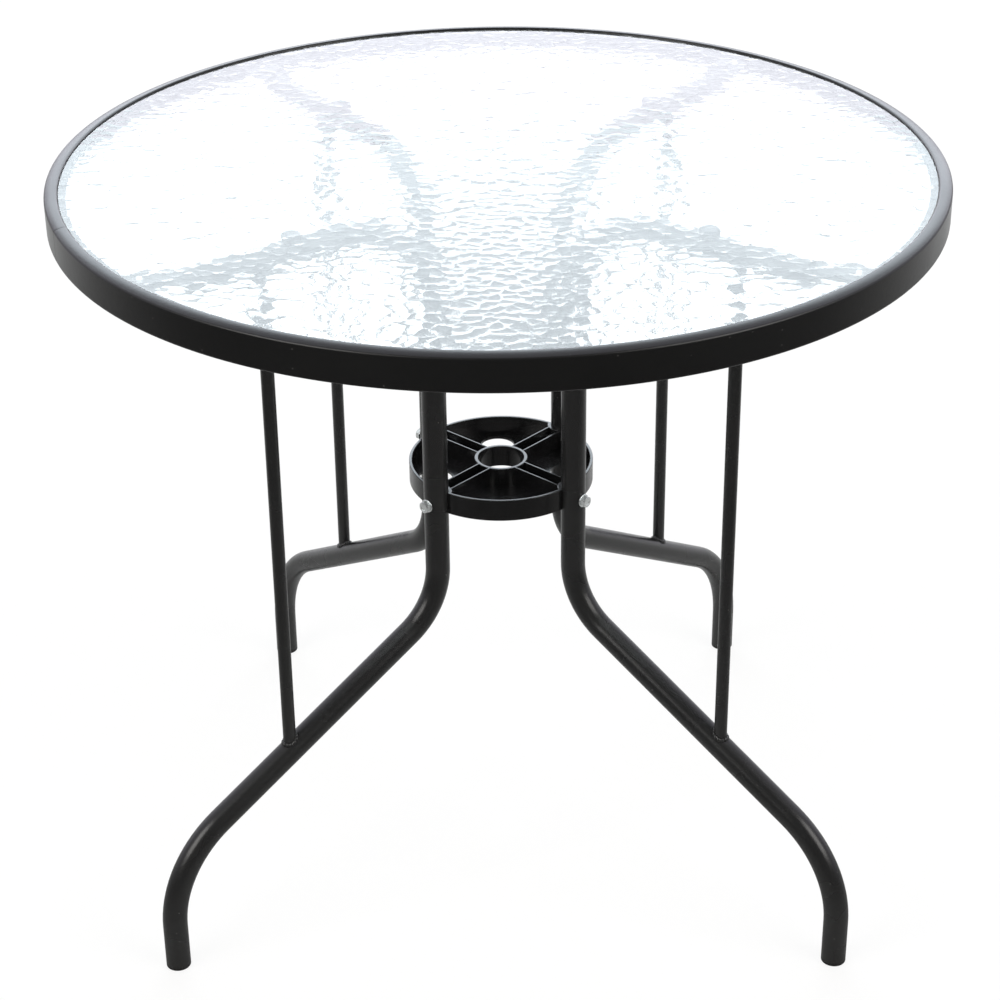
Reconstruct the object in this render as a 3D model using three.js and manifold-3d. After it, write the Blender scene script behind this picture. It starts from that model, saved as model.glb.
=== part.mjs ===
// Round patio table with a glass top that drops into a steel rim band.
// Four bent tube legs carry the rim. A moulded hub clamps them together under the top.
// Millimetres, +Z up, -Y to the front, origin on the ground under the middle of the top.

import * as THREE from 'three';
import { mergeVertices } from 'three/addons/utils/BufferGeometryUtils.js';
import Module from 'manifold-3d';

const wasm = await Module();
wasm.setup();

// Overall sizes
const tableDiameter = 800;
const tableHeight = 700;

// Gap left between two pieces that touch, and how far a cutting shape runs past what it cuts
const seatGap = 0.3;
const cutOverrun = 5;

// Rim band: one strip of sheet, rolled to a bead on top and to a ledge for the glass
const rimSheet = 1.2;
const rimHeight = 32;
const beadWidth = 12;
const beadDrop = 1.8;
const beadOuterRound = 2.2;
const beadInnerRound = 1.6;
const crownShare = 0.3;
const ledgeWidth = 7;
const hemWidth = 4;

// Glass top, the strip it lies on, and the pads on the arms
const glassThickness = 5;
const glassRecess = 2;
const glassEdgeRound = 1.2;
const gasketThickness = 1;
const gasketWidth = 5.5;
const padDiameter = 18;
const padSkirt = 5;
const padDistance = 140;

// Leg tube, with its corners given where the straight runs would meet
const tubeDiameter = 23;
const tubeWall = 1.3;
const columnDistance = 90;
const legReach = 305;
const kneeHeight = 284;
const ankleHeight = 109;
const armBendRadius = 88;
const kneeBendRadius = 70;
const ankleBendRadius = 110;

// Pressed end of the arm, flattened for its bolt
const tabWidth = 32;
const tabThickness = 3.6;
const tabLength = 38;
const tabTaper = 26;
const tabEndClearance = 2;
const tabSquareness = 0.45;
const pressedBoreShare = 0.25;

// Upright rod between the arm and the sloping run of each leg
const rodDiameter = 12;
const rodDistance = 171;

// Angle bracket under the rim that each arm is bolted to
const bracketThickness = 2;
const bracketWidth = 30;
const bracketDrop = 12;

// Hub moulding
const hubBaseHeight = 384;
const hubHeight = 21;
const hubDiameter = 174.4;
const hubWall = 3;
const hubFloor = 2.5;
const hubEdgeBevel = 0.6;
const collarDiameter = 50.4;
const collarBore = 43.6;
const ribPitch = 13.7;
const ribTopWidth = 1.8;
const ribFootWidth = 2.4;
const drainDiameter = 32;
const drainDistance = 62.5;

// M6 screws, washers and nuts
const screwDiameter = 6;
const screwHole = 6.6;
const hexAcrossFlats = 10;
const hexHeadHeight = 4;
const nutHeight = 5;
const threadPastNut = 1.2;
const washerDiameter = 12.5;
const washerThickness = 1.2;
const screwEndPastBracket = 1.5;

// Foot plug
const plugFlange = 2.5;
const plugStem = 14;
const plugEdgeRound = 1;
const plugHollow = 11;
const plugHollowDepth = 12;

// Directions in degrees: the legs point near the diagonals, the front pair turned apart and
// the rear pair together, and the hub with the four columns is turned against them
const cornerDegrees = 45;
const legTurnDegrees = 8;
const hubTurnDegrees = 4;

// Fineness of the round shapes
const rimSegments = 64;
const beadRoundSteps = 2;
const tubeSegments = 14;
const rodSegments = 12;
const hubSegments = 36;
const saddleSegments = 16;
const holeSegments = 12;
const screwSegments = 8;
const padSegments = 10;
const bendFacets = 4;
const hexSides = 6;
const armBendSteps = 7;
const lowerBendSteps = 4;
const taperSteps = 3;

// Worked out from the sizes above
const rimRadius = tableDiameter / 2;
const tubeRadius = tubeDiameter / 2;
const rodRadius = rodDiameter / 2;
const hubRadius = hubDiameter / 2;
const collarMiddle = (collarBore + collarDiameter) / 4;
const bandInside = (rimRadius - rimSheet) * Math.cos(Math.PI / rimSegments);
const glassSeatRadius = rimRadius - beadWidth;
const glassTop = tableHeight - glassRecess;
const glassBottom = glassTop - glassThickness;
const gasketTop = glassBottom - seatGap;
const ledgeTop = gasketTop - gasketThickness - seatGap;
const bracketTop = ledgeTop - rimSheet - seatGap;
const armTop = bracketTop - bracketThickness - seatGap;
const armHeight = armTop - tubeRadius;
const slope = Math.atan2(kneeHeight - ankleHeight, legReach);
const quarterTurn = Math.PI / 2;
const fullTurn = Math.PI * 2;

// Along each hub screw, outwards from the table's axis: tip, nut, washer and head
const hubScrewHeight = hubBaseHeight + hubHeight / 2;
const nutInner = columnDistance - tubeRadius - seatGap - hubWall - seatGap - nutHeight;
const screwTip = nutInner - threadPastNut;
const washerSeat = columnDistance + tubeRadius + seatGap;
const screwSeat = washerSeat + washerThickness + seatGap;

// The four corners: the hub's diagonal on which the column stands, before the hub is turned,
// and how far the leg is turned from straight out
const cornerAngle = THREE.MathUtils.degToRad(cornerDegrees);
const legTurn = THREE.MathUtils.degToRad(legTurnDegrees);
const hubTurn = THREE.MathUtils.degToRad(hubTurnDegrees);
const corners = [
  { name: 'front_left', diagonal: cornerAngle - Math.PI, twist: -legTurn - hubTurn },
  { name: 'front_right', diagonal: -cornerAngle, twist: legTurn - hubTurn },
  { name: 'rear_left', diagonal: Math.PI - cornerAngle, twist: -legTurn - hubTurn },
  { name: 'rear_right', diagonal: cornerAngle, twist: legTurn - hubTurn },
];

const finishes = {
  powderCoat: { color: 0x1b1b1d, roughness: 0.45, metalness: 0.3 },
  glass: { color: 0xdfe9f2, roughness: 0.08, metalness: 0 },
  plastic: { color: 0x17181a, roughness: 0.6, metalness: 0 },
  rubber: { color: 0x202123, roughness: 0.85, metalness: 0 },
  zinc: { color: 0xc9ccce, roughness: 0.3, metalness: 0.9 },
};

// Turns a closed geometry into a solid that can be joined and cut. A turned shape has
// triangles with no area where it meets its axis, and they are left out.
function toSolid(geometry) {
  const bare = geometry.clone();
  bare.deleteAttribute('normal');
  bare.deleteAttribute('uv');
  const welded = mergeVertices(bare);
  const triangles = [];
  for (let first = 0; first < welded.index.count; first += 3) {
    const [a, b, c] = [0, 1, 2].map((step) => welded.index.getX(first + step));
    if (a !== b && b !== c && c !== a) triangles.push(a, b, c);
  }
  return new wasm.Manifold(new wasm.Mesh({
    numProp: 3,
    vertProperties: new Float32Array(welded.attributes.position.array),
    triVerts: new Uint32Array(triangles),
  }));
}

function toGeometry(solid) {
  const mesh = solid.getMesh();
  const geometry = new THREE.BufferGeometry();
  geometry.setAttribute('position', new THREE.BufferAttribute(new Float32Array(mesh.vertProperties), 3));
  geometry.setIndex(new THREE.BufferAttribute(new Uint32Array(mesh.triVerts), 1));
  const faceted = geometry.toNonIndexed();
  faceted.computeVertexNormals();
  return faceted;
}

function namedMesh(name, geometry, finish) {
  const mesh = new THREE.Mesh(geometry, new THREE.MeshStandardMaterial(finishes[finish]));
  mesh.name = name;
  return mesh;
}

// A profile of [radius, height] corners that closes on itself, turned about the vertical axis
function turnedRing(profile, segments) {
  return turnedSolid([...profile, profile[0]], segments);
}

// A profile that starts and ends on the axis
function turnedSolid(profile, segments) {
  const points = profile.map(([radius, height]) => new THREE.Vector2(radius, height));
  const geometry = new THREE.LatheGeometry(points, segments);
  geometry.rotateX(quarterTurn);
  return geometry;
}

function uprightCylinder(radius, bottom, top, segments) {
  return turnedSolid([[0, bottom], [radius, bottom], [radius, top], [0, top]], segments);
}

// A cylinder along +X from one place to another, at a height
function levelCylinder(radius, start, end, height, segments) {
  const geometry = uprightCylinder(radius, start, end, segments);
  geometry.rotateY(quarterTurn);
  geometry.translate(0, 0, height);
  return geometry;
}

// A six-sided prism along +Z, its flats apart by the given width
function hexPrism(acrossFlats, bottom, top, boreDiameter = 0) {
  const corner = acrossFlats / Math.sqrt(3);
  const outline = new THREE.Shape();
  for (let side = 0; side < hexSides; side += 1) {
    const angle = fullTurn * side / hexSides;
    const place = [corner * Math.cos(angle), corner * Math.sin(angle)];
    if (side === 0) outline.moveTo(...place);
    else outline.lineTo(...place);
  }
  outline.closePath();
  if (boreDiameter > 0) {
    const bore = new THREE.Path();
    bore.absarc(0, 0, boreDiameter / 2, 0, fullTurn, true);
    outline.holes.push(bore);
  }
  const options = { depth: top - bottom, bevelEnabled: false, curveSegments: holeSegments / 2 };
  const geometry = new THREE.ExtrudeGeometry(outline, options);
  geometry.translate(0, 0, bottom);
  return geometry;
}

// Points of a profile's rounded corner about its centre, from one angle to another
function roundedCorner(centre, radius, from, to) {
  const points = [];
  for (let step = 0; step <= beadRoundSteps; step += 1) {
    const angle = from + (to - from) * step / beadRoundSteps;
    points.push([centre[0] + radius * Math.cos(angle), centre[1] + radius * Math.sin(angle)]);
  }
  return points;
}

// Rim band: the sheet runs up the outside, over a bead that falls a little outwards, then
// down to the ledge for the glass and inwards
function rimBand() {
  const bottom = tableHeight - rimHeight;
  const crown = [rimRadius - beadWidth / 2, tableHeight - beadDrop * crownShare];
  const outer = [rimRadius - beadOuterRound, tableHeight - beadDrop - beadOuterRound];
  const inner = [glassSeatRadius + beadInnerRound, tableHeight - beadInnerRound];
  return turnedRing([
    [rimRadius - hemWidth, bottom],
    [rimRadius, bottom],
    ...roundedCorner(outer, beadOuterRound, 0, quarterTurn),
    crown,
    ...roundedCorner(inner, beadInnerRound, quarterTurn, Math.PI),
    [glassSeatRadius, ledgeTop],
    [glassSeatRadius - ledgeWidth, ledgeTop],
    [glassSeatRadius - ledgeWidth, ledgeTop - rimSheet],
    [glassSeatRadius + rimSheet, ledgeTop - rimSheet],
    ...roundedCorner(inner, beadInnerRound - rimSheet, Math.PI, quarterTurn),
    [crown[0], crown[1] - rimSheet],
    ...roundedCorner(outer, beadOuterRound - rimSheet, quarterTurn, 0),
    [rimRadius - rimSheet, bottom + rimSheet],
    [rimRadius - hemWidth, bottom + rimSheet],
  ], rimSegments);
}

// Glass: a flat disc with ground edges, loose in the rim by the seat gap
function glassDisc() {
  const radius = glassSeatRadius - seatGap;
  return turnedSolid([
    [0, glassBottom],
    [radius - glassEdgeRound, glassBottom],
    [radius, glassBottom + glassEdgeRound],
    [radius, glassTop - glassEdgeRound],
    [radius - glassEdgeRound, glassTop],
    [0, glassTop],
  ], rimSegments);
}

function gasketRing() {
  const outer = glassSeatRadius - seatGap;
  return turnedRing([
    [outer - gasketWidth, gasketTop - gasketThickness],
    [outer, gasketTop - gasketThickness],
    [outer, gasketTop],
    [outer - gasketWidth, gasketTop],
  ], rimSegments);
}

// Leg frame: the column stands on the local origin and the leg reaches out along local +X.
// The table's axis lies behind it, off to one side because the leg is turned.
function tableAxisFromLeg(twist) {
  return [-columnDistance * Math.cos(twist), columnDistance * Math.sin(twist)];
}

// Where along the arm a place lies whose distance from the table's axis is known
function alongArm(distanceFromAxis, twist) {
  const [behind, aside] = tableAxisFromLeg(twist);
  return behind + Math.sqrt(distanceFromAxis ** 2 - aside ** 2);
}

// The four legs are alike, so the corner with the least room sets the arm and its screw
function leastAlongArm(distanceFromAxis) {
  return Math.min(...corners.map((corner) => alongArm(distanceFromAxis, corner.twist)));
}

const armEnd = leastAlongArm(bandInside - seatGap - bracketThickness - tabEndClearance);
const rimScrewPlace = leastAlongArm(glassSeatRadius - ledgeWidth - screwHole);

// Stations along the tube. Each has a place, a heading, and the half sizes of its section:
// wide across the leg, tall in the leg's own plane, and squareness 1 for a round section.
function legStations() {
  const stations = [];
  const add = (x, z, heading, wide = tubeRadius, tall = tubeRadius, squareness = 1) => {
    stations.push({ x, z, heading, wide, tall, squareness });
  };
  add(armEnd, armTop - tabThickness / 2, Math.PI, tabWidth / 2, tabThickness / 2, tabSquareness);
  for (let step = 0; step <= taperSteps; step += 1) {
    const share = step / taperSteps;
    const eased = share * share * (3 - 2 * share);
    const tall = THREE.MathUtils.lerp(tabThickness / 2, tubeRadius, eased);
    const wide = THREE.MathUtils.lerp(tabWidth / 2, tubeRadius, eased);
    const squareness = THREE.MathUtils.lerp(tabSquareness, 1, eased);
    add(armEnd - tabLength - tabTaper * share, armTop - tall, Math.PI, wide, tall, squareness);
  }
  for (let step = 0; step <= armBendSteps; step += 1) {
    const angle = quarterTurn + quarterTurn * step / armBendSteps;
    const x = armBendRadius + armBendRadius * Math.cos(angle);
    const z = armHeight - armBendRadius + armBendRadius * Math.sin(angle);
    add(x, z, angle + quarterTurn);
  }
  const turn = quarterTurn - slope;
  const kneeCentre = kneeHeight + kneeBendRadius * Math.tan(turn / 2);
  for (let step = 0; step <= lowerBendSteps; step += 1) {
    const angle = Math.PI + turn * step / lowerBendSteps;
    const x = kneeBendRadius + kneeBendRadius * Math.cos(angle);
    add(x, kneeCentre + kneeBendRadius * Math.sin(angle), angle + quarterTurn);
  }
  const ankleCentre = ankleHeight - ankleBendRadius * Math.tan(turn / 2);
  for (let step = 0; step <= lowerBendSteps; step += 1) {
    const angle = turn * (1 - step / lowerBendSteps);
    const x = legReach - ankleBendRadius + ankleBendRadius * Math.cos(angle);
    add(x, ankleCentre + ankleBendRadius * Math.sin(angle), angle - quarterTurn);
  }
  add(legReach, plugFlange + seatGap, -quarterTurn);
  return stations;
}

// Lofts a skin through the stations: a hollow tube, open at both ends, or a solid bar
// that is fatter than the tube by a margin and serves as a cutting shape
function loftTube(stations, wall, margin) {
  const positions = [];
  const indices = [];
  const ring = (station, inset) => {
    const first = positions.length / 3;
    const normalX = -Math.sin(station.heading);
    const normalZ = Math.cos(station.heading);
    const tall = Math.max(station.tall - inset, station.tall * pressedBoreShare);
    const squared = (value) => Math.sign(value) * Math.abs(value) ** station.squareness;
    for (let side = 0; side < tubeSegments; side += 1) {
      const angle = fullTurn * side / tubeSegments;
      const across = (station.wide - inset) * squared(Math.cos(angle));
      const up = tall * squared(Math.sin(angle));
      positions.push(station.x + normalX * up, across, station.z + normalZ * up);
    }
    return first;
  };
  const band = (from, to, flip) => {
    for (let side = 0; side < tubeSegments; side += 1) {
      const next = (side + 1) % tubeSegments;
      const quad = [from + side, from + next, to + next, to + side];
      if (flip) quad.reverse();
      indices.push(quad[0], quad[1], quad[2], quad[0], quad[2], quad[3]);
    }
  };
  const outer = stations.map((station) => ring(station, -margin));
  for (let index = 1; index < outer.length; index += 1) band(outer[index - 1], outer[index], false);
  if (wall > 0) {
    const inner = stations.map((station) => ring(station, wall));
    for (let index = 1; index < inner.length; index += 1) band(inner[index - 1], inner[index], true);
    band(inner[0], outer[0], false);
    band(outer[outer.length - 1], inner[inner.length - 1], false);
  } else {
    const last = outer[outer.length - 1];
    for (let side = 1; side < tubeSegments - 1; side += 1) {
      indices.push(outer[0], outer[0] + side + 1, outer[0] + side);
      indices.push(last, last + side, last + side + 1);
    }
  }
  const geometry = new THREE.BufferGeometry();
  geometry.setAttribute('position', new THREE.Float32BufferAttribute(positions, 3));
  geometry.setIndex(indices);
  return geometry;
}

// A profile drawn in the leg's own plane, extruded across it
function acrossLeg(outline, width) {
  const options = { depth: width, bevelEnabled: false, curveSegments: bendFacets };
  const geometry = new THREE.ExtrudeGeometry(outline, options);
  geometry.rotateX(quarterTurn);
  geometry.translate(0, width / 2, 0);
  return geometry;
}

// Leg: one tube, bent three times, pressed flat at the rim and drilled for its two screws
function legTube(twist) {
  const hubHole = levelCylinder(screwHole / 2, -tubeDiameter, tubeDiameter, hubScrewHeight, holeSegments);
  hubHole.rotateZ(-twist);
  const tabBottom = armTop - tabThickness;
  const tabHole = uprightCylinder(screwHole / 2, tabBottom - cutOverrun, armTop + cutOverrun, holeSegments);
  tabHole.translate(rimScrewPlace, 0, 0);
  const tube = toSolid(loftTube(legStations(), tubeWall, 0));
  return toGeometry(tube.subtract(toSolid(hubHole)).subtract(toSolid(tabHole)));
}

// The space that the tube fills, with the seat gap round it
function tubeClearance() {
  return toSolid(loftTube(legStations(), 0, seatGap));
}

// Rod: both ends are cut to the round of the tube that they are welded to
function uprightRod() {
  const foot = kneeHeight - rodDistance * Math.tan(slope);
  const rod = uprightCylinder(rodRadius, foot, armHeight, rodSegments);
  rod.translate(rodDistance, 0, 0);
  return toGeometry(toSolid(rod).subtract(tubeClearance()));
}

// Pad: a round bumper on the arm, its underside cut to the tube, its top under the glass
function glassPad() {
  const pad = uprightCylinder(padDiameter / 2, armTop - padSkirt, glassBottom - seatGap, padSegments);
  pad.translate(padDistance, 0, 0);
  return toGeometry(toSolid(pad).subtract(tubeClearance()));
}

// Foot plug: a flange under the tube's end and a hollow stem up inside it
function footPlug() {
  const stem = (tubeRadius - tubeWall) * Math.cos(Math.PI / tubeSegments) - seatGap;
  const stemTop = plugFlange + plugStem;
  const plug = turnedSolid([
    [0, 0],
    [tubeRadius - plugEdgeRound, 0],
    [tubeRadius, plugEdgeRound],
    [tubeRadius, plugFlange],
    [stem, plugFlange],
    [stem, stemTop - plugEdgeRound],
    [stem - plugEdgeRound, stemTop],
    [plugHollow / 2, stemTop],
    [plugHollow / 2, stemTop - plugHollowDepth],
    [0, stemTop - plugHollowDepth],
  ], tubeSegments);
  plug.translate(legReach, 0, 0);
  return plug;
}

// Bracket: a strip bent to an angle, its plate over the pressed end of the arm and its
// short leg down the inside of the band, which it is welded to
function rimBracket(twist) {
  const far = alongArm(rimRadius, twist);
  const wallFace = alongArm(bandInside - seatGap, twist) - bracketThickness;
  const nose = rimScrewPlace - bracketWidth / 2;
  const bottom = bracketTop - bracketDrop;
  const plateBottom = bracketTop - bracketThickness;
  const bendPlace = [wallFace - bracketThickness, plateBottom - bracketThickness];
  const outline = new THREE.Shape();
  outline.moveTo(nose, plateBottom);
  outline.lineTo(bendPlace[0], plateBottom);
  outline.absarc(...bendPlace, bracketThickness, quarterTurn, 0, true);
  outline.lineTo(wallFace, bottom);
  outline.lineTo(far, bottom);
  outline.lineTo(far, bracketTop);
  outline.lineTo(nose, bracketTop);
  outline.closePath();
  const insideBand = uprightCylinder(bandInside - seatGap, bottom, bracketTop, rimSegments);
  insideBand.translate(...tableAxisFromLeg(twist), 0);
  const hole = uprightCylinder(screwHole / 2, bottom, bracketTop + cutOverrun, holeSegments);
  hole.translate(rimScrewPlace, 0, 0);
  const strip = toSolid(acrossLeg(outline, bracketWidth));
  return toGeometry(strip.intersect(toSolid(insideBand)).subtract(toSolid(hole)));
}

// Screw with a six-sided head, its axis along +Z and the head's underside at zero
function hexScrew(shankLength) {
  const head = hexPrism(hexAcrossFlats, -hexHeadHeight, 0);
  const shank = uprightCylinder(screwDiameter / 2, -hexHeadHeight / 2, shankLength, screwSegments);
  return toGeometry(toSolid(head).add(toSolid(shank)));
}

function flatWasher() {
  const outline = new THREE.Shape();
  outline.absarc(0, 0, washerDiameter / 2, 0, fullTurn, false);
  const bore = new THREE.Path();
  bore.absarc(0, 0, screwHole / 2, 0, fullTurn, true);
  outline.holes.push(bore);
  const options = { depth: washerThickness, bevelEnabled: false, curveSegments: holeSegments / 2 };
  return new THREE.ExtrudeGeometry(outline, options);
}

// Lays a piece made along +Z on its side, pointing along the local +X from a given place
function pointedOutwards(geometry, start, height) {
  geometry.rotateY(quarterTurn);
  geometry.translate(start, 0, height);
  return geometry;
}

function pointedInwards(geometry, start, height) {
  geometry.rotateY(-quarterTurn);
  geometry.translate(start, 0, height);
  return geometry;
}

// Hub: a round pan with a collar in the middle, double ribs out to the four columns, a
// hollow saddle round the inner half of each column, and a round hole in each quarter
function hubPan() {
  const top = hubBaseHeight + hubHeight;
  const inner = hubRadius - hubWall;
  const wall = turnedRing([
    [inner, hubBaseHeight],
    [hubRadius - hubEdgeBevel, hubBaseHeight],
    [hubRadius, hubBaseHeight + hubEdgeBevel],
    [hubRadius, top - hubEdgeBevel],
    [hubRadius - hubEdgeBevel, top],
    [inner + hubEdgeBevel, top],
    [inner, top - hubEdgeBevel],
  ], hubSegments);
  const collar = turnedRing([
    [collarBore / 2, hubBaseHeight],
    [collarDiameter / 2, hubBaseHeight],
    [collarDiameter / 2, top],
    [collarBore / 2, top],
  ], hubSegments / 2);
  let pan = toSolid(wall).add(hubFloorPlate()).add(toSolid(collar));
  const disc = toSolid(uprightCylinder(hubRadius - hubEdgeBevel, hubBaseHeight, top, hubSegments));
  for (const corner of corners) {
    const saddle = uprightCylinder(tubeRadius + seatGap + hubWall, hubBaseHeight, top, saddleSegments);
    saddle.translate(columnDistance, 0, 0);
    saddle.rotateZ(corner.diagonal);
    pan = pan.add(toSolid(saddle).intersect(disc));
    for (const edge of [-1, 1]) {
      const rib = hubRib(edge * ribPitch / 2);
      rib.rotateZ(corner.diagonal);
      pan = pan.add(toSolid(rib));
    }
  }
  for (const corner of corners) {
    const [below, above] = [hubBaseHeight - cutOverrun, top + cutOverrun];
    const column = uprightCylinder(tubeRadius + seatGap, below, above, saddleSegments);
    column.translate(columnDistance, 0, 0);
    column.rotateZ(corner.diagonal);
    const hole = levelCylinder(screwHole / 2, nutInner, columnDistance, hubScrewHeight, holeSegments);
    hole.rotateZ(corner.diagonal);
    pan = pan.subtract(toSolid(column)).subtract(toSolid(hole));
  }
  return toGeometry(pan);
}

function hubFloorPlate() {
  const outline = new THREE.Shape();
  outline.absarc(0, 0, hubRadius - hubWall / 2, 0, fullTurn, false);
  const bore = new THREE.Path();
  bore.absarc(0, 0, collarMiddle, 0, fullTurn, true);
  outline.holes.push(bore);
  const options = { depth: hubFloor, bevelEnabled: false, curveSegments: hubSegments / 2 };
  const geometry = new THREE.ExtrudeGeometry(outline, options);
  geometry.translate(0, 0, hubBaseHeight);
  let plate = toSolid(geometry);
  for (const corner of corners) {
    const [below, above] = [hubBaseHeight - cutOverrun, hubBaseHeight + hubFloor + cutOverrun];
    const drain = uprightCylinder(drainDiameter / 2, below, above, saddleSegments);
    drain.translate(drainDistance, 0, 0);
    drain.rotateZ(corner.diagonal + cornerAngle);
    plate = plate.subtract(toSolid(drain));
  }
  return plate;
}

// One rib along +X, wider at its foot, as a moulding needs to leave its tool
function hubRib(offset) {
  const outline = new THREE.Shape();
  outline.moveTo(-ribFootWidth / 2, 0);
  outline.lineTo(ribFootWidth / 2, 0);
  outline.lineTo(ribTopWidth / 2, hubHeight);
  outline.lineTo(-ribTopWidth / 2, hubHeight);
  outline.closePath();
  const options = { depth: columnDistance - collarMiddle, bevelEnabled: false };
  const rib = new THREE.ExtrudeGeometry(outline, options);
  rib.rotateX(quarterTurn);
  rib.rotateZ(quarterTurn);
  rib.translate(collarMiddle, offset, hubBaseHeight);
  return rib;
}

// Builds the table: the top, the turned hub with its screws, then each leg in its own group
const table = new THREE.Group();
table.add(namedMesh('rim_band', rimBand(), 'powderCoat'));
table.add(namedMesh('glass_gasket', gasketRing(), 'rubber'));
table.add(namedMesh('glass_top', glassDisc(), 'glass'));

const hub = new THREE.Group();
hub.rotation.z = hubTurn;
hub.add(namedMesh('hub_pan', hubPan(), 'plastic'));
table.add(hub);

for (const corner of corners) {
  const columnAngle = corner.diagonal + hubTurn;
  const leg = new THREE.Group();
  leg.position.set(
    columnDistance * Math.cos(columnAngle),
    columnDistance * Math.sin(columnAngle),
    0,
  );
  leg.rotation.z = columnAngle + corner.twist;
  leg.add(namedMesh(`leg_${corner.name}`, legTube(corner.twist), 'powderCoat'));
  leg.add(namedMesh(`rod_${corner.name}`, uprightRod(), 'powderCoat'));
  leg.add(namedMesh(`glass_pad_${corner.name}`, glassPad(), 'rubber'));
  leg.add(namedMesh(`foot_plug_${corner.name}`, footPlug(), 'plastic'));
  leg.add(namedMesh(`rim_bracket_${corner.name}`, rimBracket(corner.twist), 'powderCoat'));
  const rimScrewSeat = armTop - tabThickness - seatGap;
  const rimScrew = hexScrew(bracketTop + screwEndPastBracket - rimScrewSeat);
  rimScrew.translate(rimScrewPlace, 0, rimScrewSeat);
  leg.add(namedMesh(`rim_screw_${corner.name}`, rimScrew, 'zinc'));
  table.add(leg);

  const spoke = new THREE.Group();
  spoke.rotation.z = corner.diagonal;
  const screw = pointedInwards(hexScrew(screwSeat - screwTip), screwSeat, hubScrewHeight);
  spoke.add(namedMesh(`hub_screw_${corner.name}`, screw, 'zinc'));
  const washer = pointedOutwards(flatWasher(), washerSeat, hubScrewHeight);
  spoke.add(namedMesh(`hub_washer_${corner.name}`, washer, 'zinc'));
  const nut = pointedOutwards(hexPrism(hexAcrossFlats, 0, nutHeight, screwHole), nutInner, hubScrewHeight);
  spoke.add(namedMesh(`hub_nut_${corner.name}`, nut, 'zinc'));
  hub.add(spoke);
}

export default table;
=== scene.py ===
from math import atan2, cos, floor, pi, radians, sin, sqrt, tan

import bmesh
import bpy
from mathutils import Matrix, Vector


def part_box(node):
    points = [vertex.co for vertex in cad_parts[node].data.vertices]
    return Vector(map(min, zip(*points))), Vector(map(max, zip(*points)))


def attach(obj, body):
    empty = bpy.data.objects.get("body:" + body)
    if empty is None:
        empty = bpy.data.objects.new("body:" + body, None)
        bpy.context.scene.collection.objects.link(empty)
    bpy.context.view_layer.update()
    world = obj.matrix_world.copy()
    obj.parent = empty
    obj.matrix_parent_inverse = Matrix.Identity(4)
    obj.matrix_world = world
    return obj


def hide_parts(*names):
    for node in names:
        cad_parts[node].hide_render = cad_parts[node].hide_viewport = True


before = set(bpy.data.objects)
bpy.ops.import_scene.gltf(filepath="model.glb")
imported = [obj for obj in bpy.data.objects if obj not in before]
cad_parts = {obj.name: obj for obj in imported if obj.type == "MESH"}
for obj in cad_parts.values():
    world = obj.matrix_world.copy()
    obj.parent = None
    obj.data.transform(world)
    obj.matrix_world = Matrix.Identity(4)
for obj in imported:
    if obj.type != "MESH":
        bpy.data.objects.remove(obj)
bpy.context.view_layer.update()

# Camera. It stands in front of the table and looks down on it through a long lens, so that
# the rim shows as an oval and the legs hardly narrow towards the ground.
camera_place = Vector((0.0408, -2.0532, 1.4832))
camera_down = radians(28.71)
camera_turn = radians(-1.177)
camera_roll = radians(-0.622)

camera = bpy.data.objects.new("camera", bpy.data.cameras.new("camera"))
camera.data.sensor_width = 36
camera.data.lens = 88.055
camera.matrix_world = (
    Matrix.Translation(camera_place)
    @ Matrix.Rotation(-camera_turn, 4, "Z")
    @ Matrix.Rotation(pi / 2 - camera_down, 4, "X")
    @ Matrix.Rotation(camera_roll, 4, "Z")
)
bpy.context.scene.collection.objects.link(camera)
bpy.context.scene.camera = camera
bpy.context.scene.view_settings.view_transform = "Standard"

# Light is mirrored to and fro inside the rippled glass many times before it leaves.
cycles = bpy.context.scene.cycles
cycles.max_bounces = 32
cycles.glossy_bounces = 24
cycles.transmission_bounces = 24


# Studio: a pale floor in a white room. Two wide soft lamps stand behind the table, one above
# the other, for the glass and the rim to mirror, and two smaller ones stand in front. The
# side behind the camera is dim, as a room is.
class Value:
    """A number in a node tree. Sums with it add Math nodes."""

    def __init__(self, socket):
        self.socket = socket

    def math(self, operation, *terms):
        tree = self.socket.id_data
        node = tree.nodes.new("ShaderNodeMath")
        node.operation = operation
        for place, term in enumerate(terms):
            if isinstance(term, Value):
                tree.links.new(term.socket, node.inputs[place])
            else:
                node.inputs[place].default_value = term
        return Value(node.outputs[0])

    def __add__(self, other):
        return self.math("ADD", self, other)

    def __sub__(self, other):
        return self.math("SUBTRACT", self, other)

    def __rsub__(self, other):
        return self.math("SUBTRACT", other, self)

    def __mul__(self, other):
        return self.math("MULTIPLY", self, other)

    def __truediv__(self, other):
        return self.math("DIVIDE", self, other)

    __radd__ = __add__

    def larger(self, other):
        return self.math("MAXIMUM", self, other)

    def smaller(self, other):
        return self.math("MINIMUM", self, other)


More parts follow.
